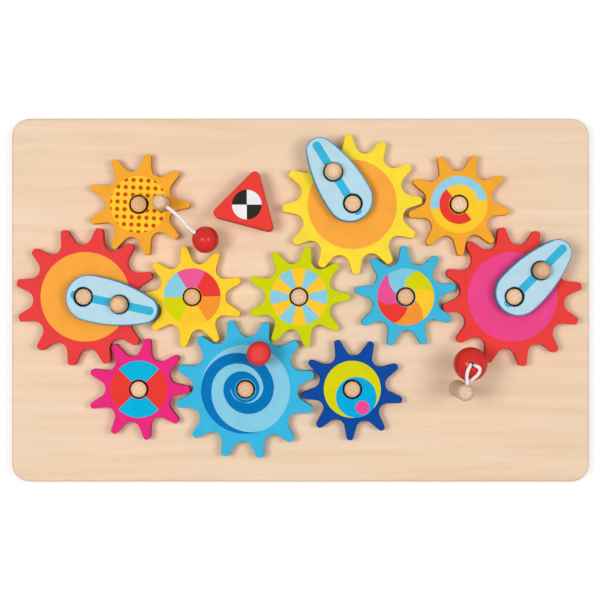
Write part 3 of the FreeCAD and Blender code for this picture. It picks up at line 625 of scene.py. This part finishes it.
# %% Sun gears
SUN_RADIUS = 26.8
SUNS = {
    "red_orange": ("EC4040", "FDA940"),
    "yellow_orange": ("FFDF3B", "FDA940"),
    "red_pink": ("ED403D", "EE478B"),
}


def sun(ink):
    """The layers of a sun in one ink."""
    return lambda tree, flat: [(disc(tree, flat, SUN_RADIUS), linear(ink))]


for name, (paint, ink) in SUNS.items():
    lacquer("gear_" + name, paint, top_of("axle_" + name), layers=sun(ink))
print("suns of", 2 * SUN_RADIUS, "mm")

# %% [markdown]
# ## The spiral
# The fourth large gear has a two-armed spiral in two blues. It looks drawn by hand, but it is
# built from half circles: above the centre line they sit on one set of centres, and below it on
# another, so each arm steps outwards once in every half turn. The mask counts, for each half,
# how many of its circles a point is outside of. Where the count is odd, the ink is pale. The
# print keeps clear of the bore, so a thin ring of the gear's own blue shows around the axle.

# %% Spiral gear
# Each circle is its centre's X and Y and its radius, in millimetres, the smallest first.
UPPER_CIRCLES = [(-2.35, 0, 10.85), (-4.72, 0, 15.44), (-4.71, 0, 21.88)]
LOWER_CIRCLES = [(-0.25, 0.76, 8.73), (0.97, 1.51, 9.74), (1.82, 0.31, 15.13), (3.59, -1.7, 23.96)]
SPIRAL_RADIUS = 26.7
SPIRAL_HOLE = 6.4


def circles_left_behind(tree, flat, circles):
    """How many of the circles a point lies outside of."""
    count = 0.0
    for x, y, radius in circles:
        inside = disc(tree, flat, radius, (x, y, 0))
        outside = add(tree, "Math", {0: 1.0, 1: inside}, operation="SUBTRACT")
        count = add(tree, "Math", {0: count, 1: outside}, operation="ADD")
    return count


def spiral(tree, flat):
    """A pale disc, and on it the two dark arms."""
    below = circles_left_behind(tree, flat, LOWER_CIRCLES)
    above = circles_left_behind(tree, flat, UPPER_CIRCLES)
    y = add(tree, "SeparateXYZ", {"Vector": flat}).outputs["Y"]
    is_above = add(tree, "Math", {0: y, 1: 0.0}, operation="GREATER_THAN")
    count = add(tree, "Mix", {0: is_above, 2: below, 3: above}, data_type="FLOAT")
    is_pale = add(tree, "Math", {0: count, 1: 2.0}, operation="MODULO")
    ink = {SHARE: is_pale, UNDER: linear("0075BA"), OVER: linear("87CEE7")}
    return [(disc(tree, flat, SPIRAL_RADIUS), add(tree, "Mix", ink, data_type="RGBA"))]


lacquer("gear_blue_spiral", "3BB8E2", top_of("axle_blue_spiral"), layers=spiral, hole=SPIRAL_HOLE)
print("spiral of", len(UPPER_CIRCLES) + len(LOWER_CIRCLES), "half circles")

# %% [markdown]
# ## Polka dots
# The first small gear has a yellow disc with a square grid of rust-coloured dots. The grid
# isn't quite in line with the board, and it takes no notice of the disc's edge, so some dots
# are cut. Dividing the place by the spacing and keeping only the fraction gives every cell of
# the grid the same small place, and one dot in it is a dot in all.

# %% Dotted gear
SMALL_PRINT = 17.1
DOT_SPACING, DOT_RADIUS = 4.46, 1.32
DOT_GRID_TURN = -3.0
DOT_GRID_SHIFT = (0.14, 0.24, 0)
MIDDLE_OF_CELL = (0.5, 0.5, 0)


def polka_dots(tree, flat):
    """A yellow disc under a grid of dots."""
    turned = {"Vector": flat, "Angle": math.radians(-DOT_GRID_TURN)}
    turned = add(tree, "VectorRotate", turned, rotation_type="Z_AXIS")
    spacing = (DOT_SPACING, DOT_SPACING, 1)
    cell = add(tree, "VectorMath", {0: turned, 1: spacing}, operation="DIVIDE")
    cell = add(tree, "VectorMath", {0: cell, 1: DOT_GRID_SHIFT}, operation="SUBTRACT")
    cell = add(tree, "VectorMath", {0: cell, 1: MIDDLE_OF_CELL}, operation="ADD")
    cell = add(tree, "VectorMath", {0: cell}, operation="FRACTION")
    dot = disc(tree, cell, DOT_RADIUS / DOT_SPACING, MIDDLE_OF_CELL)
    inside = disc(tree, flat, SMALL_PRINT)
    dot = add(tree, "Math", {0: dot, 1: inside}, operation="MULTIPLY")
    return [(inside, linear("FFCC30")), (dot, linear("CB4E0A"))]


lacquer("gear_orange_dots", "F8AA30", top_of("axle_orange_dots"), layers=polka_dots)
print("dots of", 2 * DOT_RADIUS, "mm every", DOT_SPACING, "mm")

# %% [markdown]
# ## Slices
# Four small gears have a disc cut into equal slices. The angle around the axle, as a share of a
# full turn, goes into a colour ramp whose steps are hard, with one step for each slice. Where
# the slices are twisted, the angle first grows with the distance from the axle, which bends
# every edge into the same curve, like the blades of a fan.

# %% Gears with slices
RED, PINK, ORANGE, YELLOW = "EB3B32", "EE5998", "F79633", "FFCA2E"
LIME, PALE_BLUE, BRIGHT_BLUE = "D9D50A", "8ACEE4", "00B4DF"
# Each gear's paint, its first edge in degrees, its twist in degrees per millimetre and its inks,
# counted anticlockwise.
SLICED = {
    "yellow_pie": ("FFD332", 1.5, 0, [RED, PINK, PALE_BLUE, LIME, YELLOW, ORANGE]),
    "magenta_quarters": ("EC2A7F", 44.5, 0, [BRIGHT_BLUE, RED] * 2),
    "lime_rays": ("CFD606", -15, 0, [PALE_BLUE, YELLOW] * 6),
    "blue_swirl": ("3FB8DD", 57.4, 3.0, [LIME, "7ECBE2", "EA5293", RED, ORANGE, YELLOW]),
}


def slices(first_edge, twist, inks):
    """The layer of a disc that is cut into slices."""

    def layers(tree, flat):
        part = add(tree, "SeparateXYZ", {"Vector": flat}).outputs
        angle = add(tree, "Math", {0: part["Y"], 1: part["X"]}, operation="ARCTAN2")
        away = add(tree, "VectorMath", {0: flat}, operation="LENGTH").outputs["Value"]
        bend = {0: away, 1: math.radians(twist), 2: angle}
        angle = add(tree, "Math", bend, operation="MULTIPLY_ADD")
        angle = add(tree, "Math", {0: angle, 1: math.radians(first_edge)}, operation="SUBTRACT")
        share = add(tree, "Math", {0: angle, 1: math.tau}, operation="DIVIDE")
        share = add(tree, "Math", {0: share}, operation="FRACT")
        stops = [(count / len(inks), ink) for count, ink in enumerate(inks)]
        wheel = add(tree, "ValToRGB", {"Fac": share}, stops)
        wheel.color_ramp.interpolation = "CONSTANT"
        return [(disc(tree, flat, SMALL_PRINT), wheel)]

    return layers


for name, (paint, first_edge, twist, inks) in SLICED.items():
    layers = slices(first_edge, twist, inks)
    lacquer("gear_" + name, paint, top_of("axle_" + name), layers=layers)
print(len(SLICED), "gears with slices")

# %% [markdown]
# ## Half rings and shifted discs
# The last two small gears are made of plain shapes. A ring is a disc without a smaller disc, and
# half of it is what lies ahead of a line through the axle, where the dot product with the
# direction ahead is positive. The shifted discs lie on one another like coins.

# %% Gear with half rings
RING_RADII = (6.1, 11.8, SMALL_PRINT)
PALE_RING_AHEAD, RED_RING_AHEAD = 100, 220


def half_ring(tree, flat, inner, outer, ahead):
    """1 in the half of a ring that lies towards a direction in degrees."""
    hole = disc(tree, flat, inner)
    ring = add(tree, "Math", {0: disc(tree, flat, outer), 1: hole}, operation="SUBTRACT")
    direction = (math.cos(math.radians(ahead)), math.sin(math.radians(ahead)), 0)
    along = add(tree, "VectorMath", {0: flat, 1: direction}, operation="DOT_PRODUCT")
    is_ahead = add(tree, "Math", {0: along.outputs["Value"], 1: 0.0}, operation="GREATER_THAN")
    return add(tree, "Math", {0: ring, 1: is_ahead}, operation="MULTIPLY")


def half_rings(tree, flat):
    """A yellow disc with a pale blue half ring outside and a red one inside."""
    inner, middle, outer = RING_RADII
    return [
        (disc(tree, flat, outer), linear("FFCD2E")),
        (half_ring(tree, flat, middle, outer, PALE_RING_AHEAD), linear("98D1E5")),
        (half_ring(tree, flat, inner, middle, RED_RING_AHEAD), linear(RED)),
    ]


lacquer("gear_orange_arcs", "F8AA30", top_of("axle_orange_arcs"), layers=half_rings)
print("half rings at", RING_RADII, "mm")

# %% Gear with shifted discs
CYAN_RADIUS, CYAN_PLACE = 12.2, (2.4, -4.8, 0)
PINK_RADIUS, PINK_PLACE = 4.2, (6.1, -11.0, 0)


def coins(tree, flat):
    """A lime disc, a cyan one that touches its edge and a small pink one on top."""
    return [
        (disc(tree, flat, SMALL_PRINT), linear(LIME)),
        (disc(tree, flat, CYAN_RADIUS, CYAN_PLACE), linear("00ACE0")),
        (disc(tree, flat, PINK_RADIUS, PINK_PLACE), linear("F04C95")),
    ]


lacquer("gear_navy_discs", "0A499D", top_of("axle_navy_discs"), layers=coins)
print("shifted discs of", [2 * SMALL_PRINT, 2 * CYAN_RADIUS, 2 * PINK_RADIUS], "mm")

# %% [markdown]
# ## Cranks
# A crank is a drop of 8 mm ply, dipped in mid blue. Its face is printed pale blue almost to the
# edge, which leaves a thin darker rim, and a bright blue bar runs through both holes. The bar
# is a box with rounded corners: a point's distance from a smaller box, less the rounding.

# %% Cranks
CRANK_PAINT, CRANK_FACE, CRANK_BAR = "45A6D0", "B9DBEA", "38B4DC"
BAR_START, BAR_END, BAR_WIDTH, BAR_CORNER = -7.6, 42.7, 4.9, 2.1


def bar(tree, flat):
    """The pale face and the bright bar along the crank."""
    middle = ((BAR_START + BAR_END) / 2, 0, 0)
    half = ((BAR_END - BAR_START) / 2 - BAR_CORNER, BAR_WIDTH / 2 - BAR_CORNER, 0)
    away = add(tree, "VectorMath", {0: flat, 1: middle}, operation="SUBTRACT")
    away = add(tree, "VectorMath", {0: away}, operation="ABSOLUTE")
    away = add(tree, "VectorMath", {0: away, 1: half}, operation="SUBTRACT")
    away = add(tree, "VectorMath", {0: away, 1: (0, 0, 0)}, operation="MAXIMUM")
    away = add(tree, "VectorMath", {0: away}, operation="LENGTH").outputs["Value"]
    inside = add(tree, "Math", {0: away, 1: BAR_CORNER}, operation="LESS_THAN")
    return [(1.0, linear(CRANK_FACE)), (inside, linear(CRANK_BAR))]


for name, gear in (("left", "red_orange"), ("top", "yellow_orange"), ("right", "red_pink")):
    axle, handle = Vector(top_of("axle_" + gear)), Vector(top_of("handle_" + name))
    ahead = math.degrees(math.atan2(handle.y - axle.y, handle.x - axle.x))
    lacquer("crank_" + name, CRANK_PAINT, axle, turn=ahead, layers=bar)
    print(name, "crank points to", round(ahead, 1), "degrees")

# %% [markdown]
# ## Triangle
# The red triangle is glued to the board beside the gears. Its print is a disc in four quarters,
# black and white, like a target. A quarter is black where X and Y have opposite signs, so their
# product is below zero.

# %% Triangle
TARGET_RADIUS = 8.8
TARGET_FROM_LEFT, TARGET_FROM_BELOW = 19.9, 15.6


def target(tree, flat):
    """A disc with two white and two black quarters."""
    part = add(tree, "SeparateXYZ", {"Vector": flat}).outputs
    product = add(tree, "Math", {0: part["X"], 1: part["Y"]}, operation="MULTIPLY")
    is_black = add(tree, "Math", {0: product, 1: 0.0}, operation="LESS_THAN")
    ink = {SHARE: is_black, UNDER: linear("F2F0F1"), OVER: linear("2A2822")}
    return [(disc(tree, flat, TARGET_RADIUS), add(tree, "Mix", ink, data_type="RGBA"))]


low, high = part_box("triangle_block")
target_place = (low.x + TARGET_FROM_LEFT * MM, low.y + TARGET_FROM_BELOW * MM, high.z)
lacquer("triangle_block", "EB4137", target_place, layers=target)
print("target of", 2 * TARGET_RADIUS, "mm")

# %% [markdown]
# ## Knob and balls
# The knob is a short turned peg with a coat of matt red. Its middle is painted paler than its
# shoulder, as painted light on a domed top. The balls are turned beech too, but they are tumbled
# in wax lacquer until they shine, so both lamps show in them as small spots, which takes a low
# roughness. Around each mouth of a ball's bore a dark disc is painted, as painted shade in the
# hole.

# %% Knob and balls
# The knob's painted light fades out between these radii, in millimetres.
LIT_TOP_INNER, LIT_TOP_OUTER = 2.4, 5.0
MOUTH_RADIUS = 1.6
BALL_RED = "DB2B25"
BALL_GLOSS = {"Roughness": 0.16, "Specular_IOR_Level": 0.17}


def painted_shading(tree, place):
    """Painted light: a paler middle that fades out towards the shoulder."""
    away = add(tree, "VectorMath", {0: place}, operation="LENGTH").outputs["Value"]
    reach = {"Value": away, "From Min": LIT_TOP_OUTER, "From Max": LIT_TOP_INNER}
    return [(add(tree, "MapRange", reach), linear("E84A46"))]


def painted_mouth_shade(ball, ends):
    """Painted shade: layers of dark discs where a ball's cord goes into its bore."""
    centre = (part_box(ball)[0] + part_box(ball)[1]) / 2
    radius = (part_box(ball)[1].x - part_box(ball)[0].x) / 2
    rings = [centre + (end - centre).normalized() * radius - Vector(top_of(ball)) for end in ends]
    return lambda tree, place: [
        (disc(tree, place, MOUTH_RADIUS, tuple(ring / MM)), linear("3B100B")) for ring in rings
    ]


def next_to_ends(cord):
    """The points next to a cord's two ends. A ball's hole opens towards them."""
    points = cord.data.splines[0].points
    return points[1].co.xyz, points[-2].co.xyz


lacquer("knob", "DF3D38", top_of("knob"), layers=painted_shading, sawn=False)
post_start, post_end = next_to_ends(post_braid)
_, peg_end = next_to_ends(peg_braid)
for ball, ends in (("post_ball", [post_start, post_end]), ("peg_ball", [peg_end])):
    place = top_of(ball)
    lacquer(ball, BALL_RED, place, layers=painted_mouth_shade(ball, ends), sawn=False, **BALL_GLOSS)
    print(ball, "has", len(ends), "dark mouths")

# %% [markdown]
# ## Braided cord
# The cord is white cotton, braided from eight strands. A curve has its own UV map, with U along
# the cord and V around it, so two families of waves can cross on it at equal and opposite
# slants. The higher of the two at each point is the strand on top.

# %% Cord finish
BRAID_PITCH = 1.6
STRAND_DEPTH = 0.1
STRANDS_EACH_WAY = 4


def braid(name, length):
    """Braided white cotton for a cord of a length in millimetres."""
    look = {"Roughness": 0.85, "Sheen_Weight": 0.3}
    cotton, tree, shader = new_material("braided_cotton_" + name, **look)
    along = add(tree, "SeparateXYZ", {"Vector": add(tree, "TexCoord").outputs["UV"]}).outputs
    turns = {0: along["X"], 1: math.tau * length / BRAID_PITCH}
    turns = add(tree, "Math", turns, operation="MULTIPLY")
    strands = []
    for slant in (-STRANDS_EACH_WAY, STRANDS_EACH_WAY):
        wave = {0: along["Y"], 1: math.tau * slant, 2: turns}
        wave = add(tree, "Math", wave, operation="MULTIPLY_ADD")
        strands.append(add(tree, "Math", {0: wave}, operation="SINE"))
    height = add(tree, "Math", {0: strands[0], 1: strands[1]}, operation="MAXIMUM")
    # The lower strand is painted darker, as painted shade between the strands.
    tone = add(tree, "ValToRGB", {"Fac": height}, [(0.0, "EBDFE4"), (0.6, "FFF8FB")])
    relief = add(tree, "Bump", {"Height": height, "Distance": STRAND_DEPTH * MM, "Strength": 0.55})
    wire(tree, shader, {"Base Color": tone, "Normal": relief})
    return cotton


peg_braid.data.materials.append(braid("peg", PEG_CORD_LENGTH))
post_braid.data.materials.append(braid("post", POST_CORD_LENGTH))
print("a strand crosses every", BRAID_PITCH / 2, "mm")
